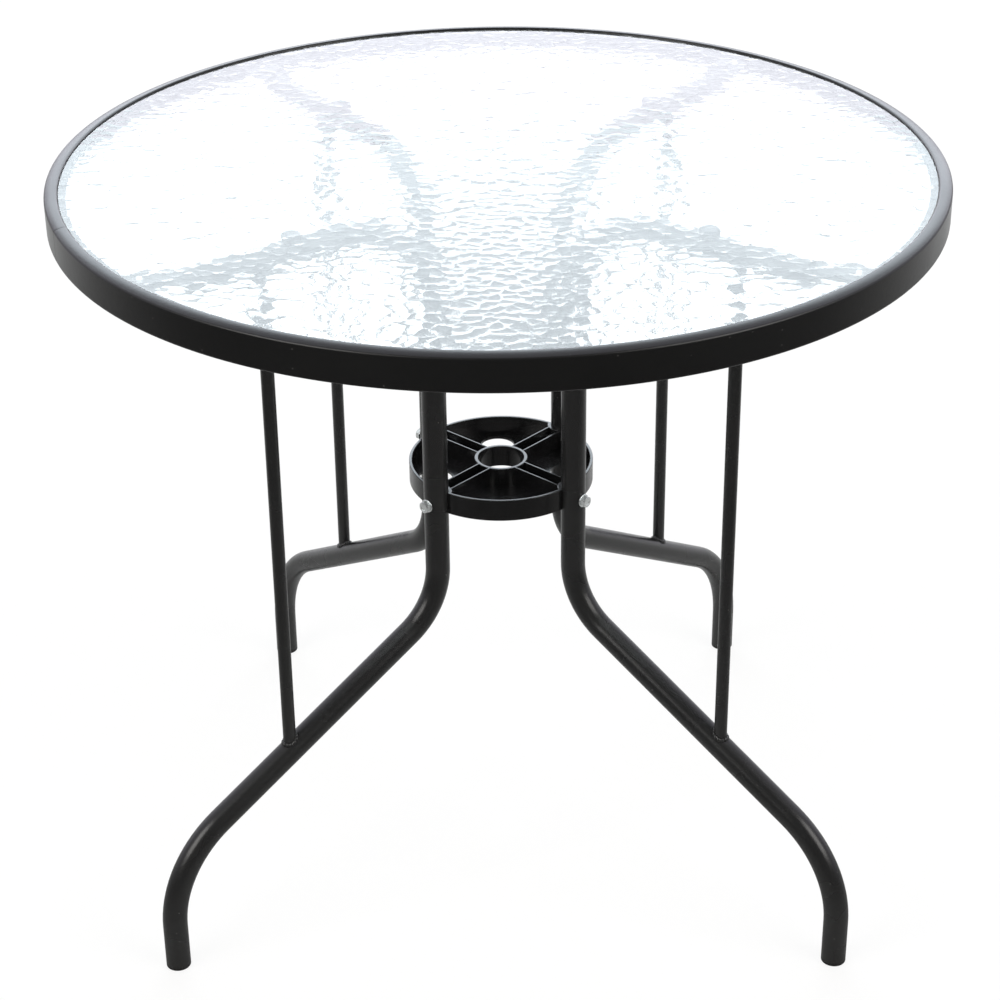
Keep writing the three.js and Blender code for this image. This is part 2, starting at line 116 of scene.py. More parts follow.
class Finish:
    """The node tree of a material or of the world."""

    def __init__(self, owner):
        owner.use_nodes = True
        self.owner = owner
        self.tree = owner.node_tree
        self.tree.nodes.clear()

    def node(self, kind, settings=None, sockets=None, out=0):
        """Adds a node: its settings first, a ramp's stops among them, and then its sockets."""
        node = self.tree.nodes.new(kind)
        for name, setting in (settings or {}).items():
            if name == "stops":
                for element, (place, colour) in zip(node.color_ramp.elements, setting):
                    element.position = place
                    element.color = colour
            else:
                setattr(node, name, setting)
        for name, value in (sockets or {}).items():
            if isinstance(value, Value):
                self.tree.links.new(value.socket, node.inputs[name])
            else:
                node.inputs[name].default_value = value
        return Value(node.outputs[out]) if node.outputs else None

    def noise(self, place, scale, detail, out=0):
        sockets = {"Vector": place, "Scale": scale, "Detail": detail}
        return self.node("ShaderNodeTexNoise", sockets=sockets, out=out)

    def blend(self, factor, first, second):
        """The first colour where the factor is 0, the second where it is 1."""
        settings = {"data_type": "RGBA"}
        return self.node("ShaderNodeMix", settings, {0: factor, 6: first, 7: second}, out=2)

    def rays(self):
        """Masks for rays through the glass, rays that see the backdrop and rays that mirror it."""
        through = self.node("ShaderNodeLightPath", out="Is Transmission Ray")
        seen = self.node("ShaderNodeLightPath", out="Is Camera Ray").larger(through)
        mirrored = self.node("ShaderNodeLightPath", out="Is Glossy Ray") * (1 - through)
        return through, seen, mirrored

    def show(self, surface, output="ShaderNodeOutputMaterial"):
        self.node(output, sockets={"Surface": surface})


def grey(level):
    return (level, level, level, 1)


def lamp(name, place, target, width, height, watts, colour):
    data = bpy.data.lights.new(name, "AREA")
    data.shape = "RECTANGLE"
    data.size = width
    data.size_y = height
    data.energy = watts
    data.color = colour
    light = bpy.data.objects.new(name, data)
    light.location = place
    light.rotation_euler = (Vector(target) - Vector(place)).to_track_quat("-Z", "Y").to_euler()
    light.visible_camera = False
    light.visible_transmission = False
    bpy.context.scene.collection.objects.link(light)


room_light = 0.5
room_dim = 0.05
mirror_dim_at, mirror_white_at = 0.25, 0.75
mirror_white = (0.92, 0.9, 1, 1)
floor_size = 16
floor_colour = (0.92, 0.9, 0.88, 1)
floor_lift = 0.85
floor_drop = 0.0004
dim_from, dim_to = 1.2, -0.9
dim_aside = 0.3
shade_middle, shade_half_width = -0.02, 0.135
shade_near, shade_far = 0.72, 1.55
shade_edge, shade_fade = 0.04, 0.1

world = bpy.data.worlds.new("white_room")
bpy.context.scene.world = world
room = Finish(world)
seen, mirrored = room.rays()[1:]
direction = room.node("ShaderNodeTexCoord", out="Generated")
forwards = room.node("ShaderNodeSeparateXYZ", sockets={0: direction}, out="Y")
ramp = {"stops": [(mirror_dim_at, grey(room_dim)), (mirror_white_at, mirror_white)]}
mirror_level = room.node("ShaderNodeValToRGB", ramp, {"Fac": forwards * 0.5 + 0.5})
plain = room.blend(mirrored, grey(room_light), mirror_level)
backdrop = room.blend(seen, plain, grey(1))
background = room.node("ShaderNodeBackground", sockets={"Color": backdrop})
room.show(background, "ShaderNodeOutputWorld")

mesh = bpy.data.meshes.new("floor")
half = floor_size / 2
corners = [(x, y, -floor_drop) for x, y in ((-half, -half), (half, -half), (half, half), (-half, half))]
mesh.from_pydata(corners, [], [(0, 1, 2, 3)])
floor_sheet = bpy.data.objects.new("floor", mesh)
bpy.context.scene.collection.objects.link(floor_sheet)

pale = Finish(bpy.data.materials.new("pale_floor"))
through, seen, mirrored = pale.rays()
place = pale.node("ShaderNodeTexCoord", out="Object")
depth = pale.node("ShaderNodeSeparateXYZ", sockets={0: place}, out="Y")
across = pale.node("ShaderNodeSeparateXYZ", sockets={0: place}, out="X")
aside = across.larger(across * -1) * dim_aside
near = (dim_from - depth + aside) / (dim_from - dim_to)
dimmed = near.larger(0).smaller(1) * mirrored
# A dim field on the floor, as the photo shows it through the glass between the columns.
beside = across - shade_middle
within = (shade_half_width - beside.larger(beside * -1)) / shade_edge
length_within = (shade_far - depth).smaller(depth - shade_near) / shade_fade
# Painted shade: the floor is darkened here only for rays that come through the glass, not by any lamp.
shade = within.smaller(length_within).larger(0).smaller(1) * through
colour = pale.blend(dimmed.larger(shade), floor_colour, grey(room_dim))
paint = pale.node("ShaderNodeBsdfDiffuse", sockets={"Color": colour})
lift = pale.node("ShaderNodeEmission", sockets={"Color": grey(1), "Strength": 1.0})
lifted = seen * floor_lift * (1 - shade)
pale.show(pale.node("ShaderNodeMixShader", sockets={0: lifted, 1: paint, 2: lift}))
mesh.materials.append(pale.owner)

lamp("low_light", (0, 3.6, 1.5), (0, 0, 0.7), 4.6, 0.9, 42, (0.89, 0.915, 1))
lamp("high_light", (0, 3.5, 2.78), (0, 0, 0.7), 4.6, 1.6, 85, (0.82, 0.94, 1))
lamp("left_light", (-2.6, -2.2, 2.6), (0, 0, 0.4), 2.2, 2.2, 68, (1, 0.98, 0.955))
lamp("right_light", (2.8, -1.8, 2.4), (0, 0, 0.4), 2.2, 2.2, 60, (1, 0.98, 0.955))


# Rim band: one strip of sheet steel, rolled to a bead on top and to a ledge for the glass
# inside, then bent to a ring. Its ends are butt-welded at the left, dressed smooth and
# powder-coated satin black.
def loft(name, rings, ends):
    """A mesh through closed rings of equal count. Its ends are joined or capped."""
    count = len(rings[0])
    pairs = [(ring, ring + 1) for ring in range(len(rings) - 1)]
    if ends == "joined":
        pairs.append((len(rings) - 1, 0))
    faces = []
    for first, second in pairs:
        for side in range(count):
            after = (side + 1) % count
            a, b = first * count, second * count
            faces.append((a + side, a + after, b + after, b + side))
    if ends == "capped":
        last = (len(rings) - 1) * count
        faces.append(tuple(reversed(range(count))))
        faces.append(tuple(range(last, last + count)))
    mesh = bpy.data.meshes.new(name)
    mesh.from_pydata([point for ring in rings for point in ring], [], faces)
    settle_faces(mesh)
    return mesh


def settle_faces(mesh):
    """Turns the faces outwards and smooths all but the sharp edges."""
    shape = bmesh.new()
    shape.from_mesh(mesh)
    bmesh.ops.remove_doubles(shape, verts=shape.verts, dist=1e-6)
    bmesh.ops.recalc_face_normals(shape, faces=shape.faces)
    shape.to_mesh(mesh)
    shape.free()
    mesh.shade_smooth()
    mesh.set_sharp_from_angle(angle=radians(38))


def circle(radius, height, sides):
    turns = [2 * pi * side / sides for side in range(sides)]
    return [(radius * cos(turn), radius * sin(turn), height) for turn in turns]


def turned(name, profile, sides, ends="joined"):
    """A profile of (radius, height) corners, turned about the upright axis."""
    return loft(name, [circle(radius, height, sides) for radius, height in profile], ends)


def rounded(corner, before, after, radius, steps=4):
    """Points that round one corner of a profile between its neighbours."""
    corner, before, after = Vector(corner), Vector(before), Vector(after)
    into = (before - corner).normalized()
    out = (after - corner).normalized()
    reach = radius / tan(into.angle(out) / 2)
    start = corner + into * reach
    end = corner + out * reach
    points = []
    for step in range(steps + 1):
        share = step / steps
        first = start.lerp(corner, share)
        second = corner.lerp(end, share)
        points.append(tuple(first.lerp(second, share)))
    return points


def softened(profile, radii):
    """A closed profile with each corner rounded by its own radius."""
    points = []
    for place, radius in enumerate(radii):
        if radius:
            after = profile[(place + 1) % len(profile)]
            points += rounded(profile[place], profile[place - 1], after, radius)
        else:
            points.append(profile[place])
    return points


def piece(name, mesh, finish, slot, *nodes):
    """Puts a mesh in the scene as a piece of the table that stands for the named CAD nodes."""
    thing = bpy.data.objects.new(name, mesh)
    bpy.context.scene.collection.objects.link(thing)
    flats = thing.modifiers.new("true_flats", "WEIGHTED_NORMAL")
    flats.keep_sharp = True
    mesh.materials.clear()
    mesh.materials.append(finish)
    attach(thing, "root")
    if nodes:
        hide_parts(*nodes)
    return thing


def powder_coat(name, painted_lightness, roughness):
    """Satin black with a fine pebbled skin, faint clouds in its gloss and a little dust. Its black is
    scaled per copy, paler or darker, as painted light or shade.
    """
    coat = Finish(bpy.data.materials.new(name))
    place = coat.node("ShaderNodeTexCoord", out="Object")
    cloud = coat.noise(place, 9, 3)
    pebble = coat.noise(place, 900, 2)
    swell = coat.noise(place, 210, 1)
    grain = coat.node("ShaderNodeTexVoronoi", sockets={"Vector": place, "Scale": 70.0})
    dust = {"stops": [(0.035, grey(1)), (0.05, grey(0))]}
    speck = coat.node("ShaderNodeValToRGB", dust, {"Fac": grain})
    black = coat.blend(cloud, grey(0.0060 * painted_lightness), grey(0.0092 * painted_lightness))
    colour = coat.blend(speck * 0.35, black, (0.16, 0.155, 0.15, 1))
    skin = {"Height": pebble + swell * 1.4, "Strength": 0.32, "Distance": 0.00012}
    surface = {
        "Base Color": colour,
        "Roughness": roughness + cloud * 0.12 + speck * 0.2,
        "Specular IOR Level": 0.5,
        "Normal": coat.node("ShaderNodeBump", sockets=skin),
    }
    coat.show(coat.node("ShaderNodeBsdfPrincipled", sockets=surface))
    return coat.owner


rim_low, rim_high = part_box("rim_band")
glass_low, glass_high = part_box("glass_top")
gasket_low, gasket_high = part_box("glass_gasket")
seat_gap = 0.0003
rim_radius = rim_high.x
rim_top = rim_high.z
rim_bottom = rim_low.z
rim_sheet = 0.0012
rim_hem = 0.004
bead_width = 0.012
bead_drop = 0.0018
bead_outer_round = 0.0022
bead_inner_round = 0.0022
shoulder_turn = radians(66)
ledge_width = 0.007
ledge_top = gasket_low.z - seat_gap
sheet_round = 0.0004
foot_round = 0.003
foot_steps = 6
fold_round = 0.0006
ledge_round = 0.0008
under_round = 0.0018
rim_sides = 288
round_steps = 8
crown_steps = 5
seam_turn = radians(201.8)
seam_width = radians(0.12)
seam_depth = 0.00022
seam_dip = ((-1, 0), (-0.45, 0.5), (0, 1), (0.45, 0.5), (1, 0))


def from_centre(centre, radius, turn):
    return (centre[0] + radius * cos(turn), centre[1] + radius * sin(turn))


def rim_profile():
    seat = rim_radius - bead_width
    shoulder = (rim_radius - bead_outer_round, rim_top - bead_drop - bead_outer_round)
    lip = (seat + bead_inner_round, rim_top - bead_inner_round)
    outside = []
    inside = []
    for step in range(round_steps + 1):
        turn = shoulder_turn * step / round_steps
        outside.append(from_centre(shoulder, bead_outer_round, turn))
        inside.insert(0, from_centre(shoulder, bead_outer_round - rim_sheet, turn))
    crown_radius, crown_height = outside[-1]
    for step in range(1, crown_steps):
        share = step / crown_steps
        radius = crown_radius + (lip[0] - crown_radius) * share
        height = rim_top - (rim_top - crown_height) * (1 - share) ** 2
        outside.append((radius, height))
        inside.insert(0, (radius, height - rim_sheet))
    for step in range(round_steps + 1):
        turn = pi / 2 + pi / 2 * step / round_steps
        outside.append(from_centre(lip, bead_inner_round, turn))
        inside.insert(0, from_centre(lip, bead_inner_round - rim_sheet, turn))
    hem = (rim_radius - rim_hem, rim_bottom)
    foot = (rim_radius, rim_bottom)
    ledge = (seat, ledge_top)
    ledge_end = (seat - ledge_width, ledge_top)
    under_end = (seat - ledge_width, ledge_top - rim_sheet)
    under = (seat + rim_sheet, ledge_top - rim_sheet)
    foot_inside = (rim_radius - rim_sheet, rim_bottom + rim_sheet)
    hem_inside = (rim_radius - rim_hem, rim_bottom + rim_sheet)
    return [
        *rounded(hem, hem_inside, foot, sheet_round),
        *rounded(foot, hem, outside[0], foot_round, foot_steps),
        *outside,
        *rounded(ledge, outside[-1], ledge_end, ledge_round),
        *rounded(ledge_end, ledge, under_end, sheet_round),
        *rounded(under_end, ledge_end, under, sheet_round),
        *rounded(under, under_end, inside[0], under_round),
        *inside,
        *rounded(foot_inside, inside[-1], hem_inside, fold_round),
        *rounded(hem_inside, foot_inside, hem, sheet_round),
    ]


def rim_band():
    """The profile stands at every turn of the ring, a little sunk where the seam is."""
    turns = [(2 * pi * side / rim_sides, 0) for side in range(rim_sides)]
    for offset, depth in seam_dip:
        turns.append((seam_turn + offset * seam_width / 2, depth * seam_depth))
    turns.sort()
    profile = rim_profile()
    rings = []
    for radius, height in profile:
        outer = radius > rim_radius - bead_width - rim_sheet
        ring = []
        for turn, sunk in turns:
            reach = radius - (sunk if outer else 0)
            drop = sunk if height > rim_top - 2 * bead_drop else 0
            ring.append((reach * cos(turn), reach * sin(turn), height - drop))
        rings.append(ring)
    return loft("rim_band", rings, "joined")


# The rim's copy of the coat has its black painted darker than the legs' copy, as painted shade.
rim_coat_painted_darker = powder_coat("rim_coat_painted_darker", 0.8, 0.30)
piece("rim_band_coated", rim_band(), rim_coat_painted_darker, "powder_coat", "rim_band")


# Gasket: a flat strip of black rubber on the ledge, glued down, that the glass lies on.
def rubber():
    """Dull black rubber with a fine tooth and paler scuffs."""
    skin = Finish(bpy.data.materials.new("rubber"))
    place = skin.node("ShaderNodeTexCoord", out="Object")
    tooth = skin.noise(place, 1400, 3)
    scuff = skin.noise(place, 120, 4)
    colour = skin.blend(scuff, (0.010, 0.010, 0.011, 1), (0.030, 0.030, 0.032, 1))
    bump = {"Height": tooth, "Strength": 0.4, "Distance": 0.0002}
    surface = {
        "Base Color": colour,
        "Roughness": 0.62 + scuff * 0.25,
        "Specular IOR Level": 0.35,
        "Normal": skin.node("ShaderNodeBump", sockets=bump),
    }
    skin.show(skin.node("ShaderNodeBsdfPrincipled", sockets=surface))
    return skin.owner


gasket_width = 0.0055
gasket_round = 0.0003
outer = gasket_high.x
strip = [
    (outer - gasket_width, gasket_low.z),
    (outer, gasket_low.z),
    (outer, gasket_high.z),
    (outer - gasket_width, gasket_high.z),
]
black_rubber = rubber()
gasket = turned("glass_gasket", softened(strip, [gasket_round] * len(strip)), rim_sides)
piece("glass_strip", gasket, black_rubber, "rubber", "glass_gasket")


# Glass top: tempered glass, nearly smooth above and rolled below into shallow hollows about
# a centimetre across, with a ground edge. It drops into the rim and lies there by its weight.
hollow_size = 0.0108
hollow_depth = 0.00066
hollow_drift = 0.011
grain_share, wave_share = 0.08, 0.25
upper_share = 0.1
glass_edge = 0.0005


def rippled_glass():
    """Clear, faintly blue, its underside dimpled like hammered metal."""
    glass = Finish(bpy.data.materials.new("ripple_glass"))
    place = glass.node("ShaderNodeTexCoord", out="Object")
    height = glass.node("ShaderNodeSeparateXYZ", sockets={0: place}, out="Z")
    middle = (glass_low.z + glass_high.z) / 2
    below = height.math("LESS_THAN", height, middle)
    drift = glass.noise(place, 55, 1, out="Color")
    wander = {0: drift, 1: (0.5, 0.5, 0.5)}
    shift = glass.node("ShaderNodeVectorMath", {"operation": "SUBTRACT"}, wander)
    bend = {0: shift, 1: (hollow_drift, hollow_drift, 0), 2: place}
    bent = glass.node("ShaderNodeVectorMath", {"operation": "MULTIPLY_ADD"}, bend)
    cells = {"voronoi_dimensions": "2D"}
    hollow = glass.node("ShaderNodeTexVoronoi", cells, {"Vector": bent, "Scale": 1 / hollow_size})
    fine = glass.noise(place, 620, 1)
    wave = glass.noise(place, 38, 1)
    side = upper_share + below * (1 - upper_share)
    relief = (hollow * hollow + fine * grain_share) * side + wave * wave_share
    bump = {"Height": relief, "Strength": 1.0, "Distance": hollow_depth}
    surface = {
        "Base Color": (0.925, 0.972, 0.985, 1),
        "Roughness": 0.02,
        "IOR": 1.5,
        "Transmission Weight": 1.0,
        "Normal": glass.node("ShaderNodeBump", sockets=bump),
    }
    glass.show(glass.node("ShaderNodeBsdfPrincipled", sockets=surface))
    return glass.owner


glass_radius = glass_high.x
glass_middle = 0.0002
glass_sides = 256
disc = [
    (glass_middle, glass_low.z),
    (glass_radius * 0.5, glass_low.z),
    *rounded((glass_radius, glass_low.z), (0, glass_low.z), (glass_radius, glass_high.z), glass_edge),
    *rounded((glass_radius, glass_high.z), (glass_radius, glass_low.z), (0, glass_high.z), glass_edge),
    (glass_radius * 0.5, glass_high.z),
    (glass_middle, glass_high.z),
]
glass_mesh = turned("glass_top", disc, glass_sides, "capped")
glass_top = piece("glass_disc", glass_mesh, rippled_glass(), "ripple_glass", "glass_top")
glass_top.visible_shadow = False


# Legs: each is one length of round steel tube, bent three times, with its upper end pressed
# flat for the screw that holds it to the rim. Powder-coated with the rod welded in place.
tube_radius = 0.0115
tube_wall = 0.0013
column_distance = 0.090
leg_reach = 0.305
knee_height = 0.284
ankle_height = 0.109
arm_bend = 0.088
knee_bend = 0.070
ankle_bend = 0.110
arm_end = 0.3042
tab_half_width = 0.016
tab_thickness = 0.0036
tab_length = 0.038
tab_taper = 0.026
tab_squareness = 0.45
pressed_bore = 0.25
tube_sides = 36
bend_steps = 18
taper_steps = 12
corner_turn = radians(45)
leg_turn = radians(8)
hub_turn = radians(4)

leg_low, leg_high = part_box("leg_front_left")
arm_height = leg_high.z - tube_radius
slope = atan2(knee_height - ankle_height, leg_reach)
corner_legs = {
    "front_left": (corner_turn - pi, -leg_turn),
    "front_right": (-corner_turn, leg_turn),
    "rear_left": (pi - corner_turn, -leg_turn),
    "rear_right": (corner_turn, leg_turn),
}


def leg_matrix(corner):
    """Carries a shape from the leg's own frame, column upright at the origin, to its corner."""
    diagonal, turned_by = corner_legs[corner]
    column = Matrix.Rotation(diagonal + hub_turn, 4, "Z") @ Vector((column_distance, 0, 0))
    return Matrix.Translation(column) @ Matrix.Rotation(diagonal + turned_by, 4, "Z")


def leg_stations():
    """Places along the tube: x, z, heading, half width, half height and squareness."""
    top = leg_high.z
    pressed = tab_thickness / 2
    stations = [(arm_end, top - pressed, pi, tab_half_width, pressed, tab_squareness)]
    for step in range(taper_steps + 1):
        share = step / taper_steps
        eased = share * share * (3 - 2 * share)
        tall = pressed + (tube_radius - pressed) * eased
        wide = tab_half_width + (tube_radius - tab_half_width) * eased
        squareness = tab_squareness + (1 - tab_squareness) * eased
        x = arm_end - tab_length - tab_taper * share
        stations.append((x, top - tall, pi, wide, tall, squareness))
    round_tube = (tube_radius, tube_radius, 1)
    for step in range(bend_steps + 1):
        turn = pi / 2 + pi / 2 * step / bend_steps
        x = arm_bend + arm_bend * cos(turn)
        z = arm_height - arm_bend + arm_bend * sin(turn)
        stations.append((x, z, turn + pi / 2, *round_tube))
    fall = pi / 2 - slope
    knee_centre = knee_height + knee_bend * tan(fall / 2)
    for step in range(bend_steps + 1):
        turn = pi + fall * step / bend_steps
        x = knee_bend + knee_bend * cos(turn)
        z = knee_centre + knee_bend * sin(turn)
        stations.append((x, z, turn + pi / 2, *round_tube))
    ankle_centre = ankle_height - ankle_bend * tan(fall / 2)
    for step in range(bend_steps + 1):
        turn = fall * (1 - step / bend_steps)
        x = leg_reach - ankle_bend + ankle_bend * cos(turn)
        z = ankle_centre + ankle_bend * sin(turn)
        stations.append((x, z, turn - pi / 2, *round_tube))
    stations.append((leg_reach, leg_low.z, -pi / 2, *round_tube))
    return stations


def tube_ring(station, inset):
    """One ring of the tube's skin. The inset draws the bore inwards by the wall."""
    x, z, heading, wide, tall, squareness = station
    height = max(tall - inset, tall * pressed_bore)
    ring = []
    for side in range(tube_sides):
        turn = 2 * pi * side / tube_sides
        across = abs(cos(turn)) ** squareness * (1 if cos(turn) > 0 else -1)
        up = abs(sin(turn)) ** squareness * (1 if sin(turn) > 0 else -1) * height
        ring.append((x - sin(heading) * up, (wide - inset) * across, z + cos(heading) * up))
    return ring


def leg_tube(corner):
    stations = leg_stations()
    outer = [tube_ring(station, 0) for station in stations]
    bore = [tube_ring(station, tube_wall) for station in reversed(stations)]
    mesh = loft(f"leg_{corner}", outer + bore, "joined")
    mesh.transform(leg_matrix(corner))
    return mesh


# The legs' copy of the same coat has its black painted paler, as painted light from above.
leg_coat_painted_paler = powder_coat("leg_coat_painted_paler", 1.8, 0.21)
for corner in corner_legs:
    piece(f"leg_tube_{corner}", leg_tube(corner), leg_coat_painted_paler, "powder_coat", f"leg_{corner}")


# Rods: a round bar stands in the corner of each leg, its ends cut to the round of the tube
# and welded there all the way round. The beads were left as laid, under the coat.
rod_radius = 0.006
rod_distance = 0.171
rod_sides = 24
weld_size = 0.0021
weld_least, weld_swell, weld_drift = 0.82, 0.25, 0.06
weld_stretch = 1.15
weld_waves = 13
weld_steps = 78
weld_sides = 10


def under_arm(x, y):
    """Height of the arm's underside over a place in the leg's frame."""
    return arm_height - sqrt(tube_radius**2 - y**2)


def on_slope(x, y):
    """Height of the sloping run's upper side."""
    middle = knee_height - x * tan(slope)
    return middle + sqrt(tube_radius**2 - y**2) / cos(slope)


def rod_end(height, radius, sides):
    """A ring round the rod that follows the surface it stands on or runs up to."""
    ring = []
    for side in range(sides):
        turn = 2 * pi * side / sides
        x = rod_distance + radius * cos(turn)
        y = radius * sin(turn)
        ring.append((x, y, height(x, y)))
    return ring


def upright_rod(corner):
    foot = rod_end(on_slope, rod_radius, rod_sides)
    head = rod_end(under_arm, rod_radius, rod_sides)
    mesh = loft(f"rod_{corner}", [foot, head], "capped")
    mesh.transform(leg_matrix(corner))
    return mesh


def weld_bead(name, height, upwards, corner):
    """A bead round the rod, laid in overlapping drops, so it swells and narrows."""
    seat = rod_end(height, rod_radius, weld_steps)
    rings = []
    for place, (x, y, z) in enumerate(seat):
        turn = 2 * pi * place / weld_steps
        drop = abs(sin(turn * weld_waves / 2))
        size = weld_size * (weld_least + weld_swell * drop + weld_drift * sin(3 * turn + 1))
        ring = []
        for side in range(weld_sides):
            lean = 2 * pi * side / weld_sides
            out = size * cos(lean)
            up = size * sin(lean) * weld_stretch * upwards
            ring.append((x + out * cos(turn), y + out * sin(turn), z + up))
        rings.append(ring)
    mesh = loft(name, rings, "joined")
    mesh.transform(leg_matrix(corner))
    return mesh


for corner in corner_legs:
    piece(f"upright_{corner}", upright_rod(corner), leg_coat_painted_paler, "powder_coat", f"rod_{corner}")
    bead = weld_bead(f"weld_low_{corner}", on_slope, 1, corner)
    piece(f"weld_low_{corner}", bead, leg_coat_painted_paler, "powder_coat")
    bead = weld_bead(f"weld_high_{corner}", under_arm, -1, corner)
    piece(f"weld_high_{corner}", bead, leg_coat_painted_paler, "powder_coat")


# Pads: a round rubber bumper sits on each arm, hollowed below to the tube, glued, and
# carries the middle of the glass.
pad_radius = 0.009
pad_distance = 0.140
pad_edge = 0.0012
pad_rings = (0.002, 0.006, pad_radius)
pad_top = glass_low.z - seat_gap
pad_sides = 48


def over_arm(x, y):
    return arm_height + sqrt((tube_radius + seat_gap) ** 2 - y**2)


def glass_pad(corner):
    rings = []
    for radius in pad_rings:
        ring = []
        for side in range(pad_sides):
            turn = 2 * pi * side / pad_sides
            x, y = radius * cos(turn), radius * sin(turn)
            ring.append((x, y, over_arm(x, y)))
        rings.append(ring)
    edge = rounded((pad_radius, pad_top), (pad_radius, 0), (0, pad_top), pad_edge)
    rings += [circle(radius, height, pad_sides) for radius, height in edge]
    mesh = loft(f"pad_{corner}", rings, "capped")
    mesh.transform(leg_matrix(corner) @ Matrix.Translation((pad_distance, 0, 0)))
    return mesh


for corner in corner_legs:
    piece(f"pad_{corner}", glass_pad(corner), black_rubber, "rubber", f"glass_pad_{corner}")


# Foot plugs: a moulded black plastic plug is knocked into the end of each leg, and its
# flange stands on the ground.
def moulded(name, gloss):
    """Black plastic with a fine even texture and a trace of flow marks."""
    plastic = Finish(bpy.data.materials.new(name))
    place = plastic.node("ShaderNodeTexCoord", out="Object")
    spark = plastic.noise(place, 1500, 2)
    flow = plastic.noise(place, 45, 3)
    colour = plastic.blend(flow, (0.0045, 0.0045, 0.0046, 1), (0.0075, 0.0075, 0.0076, 1))
    bump = {"Height": spark + flow, "Strength": 0.15, "Distance": 0.00015}
    surface = {
        "Base Color": colour,
        "Roughness": gloss + flow * 0.1,
        "Specular IOR Level": 0.5,
        "Normal": plastic.node("ShaderNodeBump", sockets=bump),
    }
    plastic.show(plastic.node("ShaderNodeBsdfPrincipled", sockets=surface))
    return plastic.owner


plug_flange = 0.0025
plug_height = 0.0165
plug_edge = 0.001
plug_rim_round = 0.0003
plug_hollow = 0.0055
plug_hollow_round = 0.0006
plug_floor = 0.0045
plug_middle = 0.0004
plug_play = 0.0006
plug_sides = 48
plug_stem = (tube_radius - tube_wall) - plug_play
plug_plastic = moulded("foot_plastic", 0.42)


def foot_plug(corner):
    hollow_foot = (plug_hollow, plug_floor)
    profile = [
        (plug_middle, 0),
        *rounded((tube_radius, 0), (0, 0), (tube_radius, plug_flange), plug_edge),
        *rounded((tube_radius, plug_flange), (tube_radius, 0), (0, plug_flange), plug_rim_round),
        (plug_stem, plug_flange),
        *rounded((plug_stem, plug_height), (plug_stem, 0), (0, plug_height), plug_edge),
        *rounded((plug_hollow, plug_height), (plug_stem, plug_height), (plug_hollow, 0), plug_rim_round),
        *rounded(hollow_foot, (plug_hollow, plug_height), (0, plug_floor), plug_hollow_round),
        (plug_middle, plug_floor),
    ]
    mesh = turned(f"plug_{corner}", profile, plug_sides, "capped")
    mesh.transform(leg_matrix(corner) @ Matrix.Translation((leg_reach, 0, 0)))
    return mesh


for corner in corner_legs:
    piece(f"plug_{corner}", foot_plug(corner), plug_plastic, "foot_plastic", f"foot_plug_{corner}")


# Brackets: a bent steel strip is welded inside the band over each arm. The model's own
# strips stay, with the bend's edges eased and the same coat as the legs.
bracket_ease = 0.0003
eased_from = radians(40)

for corner in corner_legs:
    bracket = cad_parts[f"rim_bracket_{corner}"]
    bracket.data.materials.clear()
    bracket.data.materials.append(leg_coat_painted_paler)
    ease = bracket.modifiers.new("eased_edges", "BEVEL")
    ease.width = bracket_ease
    ease.segments = 2
    ease.limit_method = "ANGLE"
    ease.angle_limit = eased_from


# Hub: a black plastic moulding that clamps the four columns. It is a round pan with a
# collar for a parasol pole in the middle, double ribs out to hollow saddles at the columns,
# and a round hole in each quarter of its floor.
hub_low, hub_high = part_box("hub_pan")
hub_radius = 0.0872
hub_bottom, hub_top = hub_low.z, hub_high.z
hub_wall = 0.003
hub_floor = 0.0025
hub_edge = 0.0007
collar_radius = 0.0252
collar_bore = 0.0218
rib_pitch = 0.0137
rib_top = 0.0018
rib_foot = 0.0024
rib_edge = 0.0005
drain_radius = 0.016
drain_distance = 0.0625
screw_hole = 0.0033
screw_hole_length = 0.020
collar_middle = (collar_bore + collar_radius) / 2
wall_middle = hub_radius - hub_wall / 2
far_out = hub_radius * 1.5
hub_sides = 192
collar_sides = 96
bore_sides = 64
screw_hole_sides = 24
cut_overrun = 0.005


def upright_bar(name, radius, bottom, top, sides, edge=0.0):
    profile = [(radius, bottom), (radius, top)]
    if edge:
        profile = [(radius, bottom), *rounded((radius, top), (radius, bottom), (0, top), edge)]
    return turned(name, profile, sides, "capped")


def hub_rib(offset):
    """One rib along +X with a rounded top, wider at its foot."""
    half_top, half_foot = rib_top / 2, rib_foot / 2
    flat = [(-half_foot, hub_bottom), (half_foot, hub_bottom), (half_top, hub_top), (-half_top, hub_top)]
    outline = softened(flat, [0, 0, rib_edge, rib_edge])
    ends = (collar_middle, column_distance - tube_radius / 2)
    rings = [[(x, offset + y, z) for y, z in outline] for x in ends]
    return loft("rib", rings, "capped")


def combine(base, tools):
    """Joins meshes to a base, or cuts them from it, in order."""
    body = bpy.data.objects.new("moulding", base)
    bpy.context.scene.collection.objects.link(body)
    helpers = []
    for operation, tool in tools:
        helper = bpy.data.objects.new("tool", tool)
        bpy.context.scene.collection.objects.link(helper)
        helpers.append(helper)
        step = body.modifiers.new("step", "BOOLEAN")
        step.operation = operation
        step.solver = "EXACT"
        step.object = helper
    view = bpy.context.evaluated_depsgraph_get()
    result = bpy.data.meshes.new_from_object(body.evaluated_get(view))
    for helper in [body, *helpers]:
        bpy.data.objects.remove(helper)
    return result


def turned_to(mesh, angle, place=(0, 0, 0)):
    mesh.transform(Matrix.Rotation(angle, 4, "Z") @ Matrix.Translation(place))
    return mesh


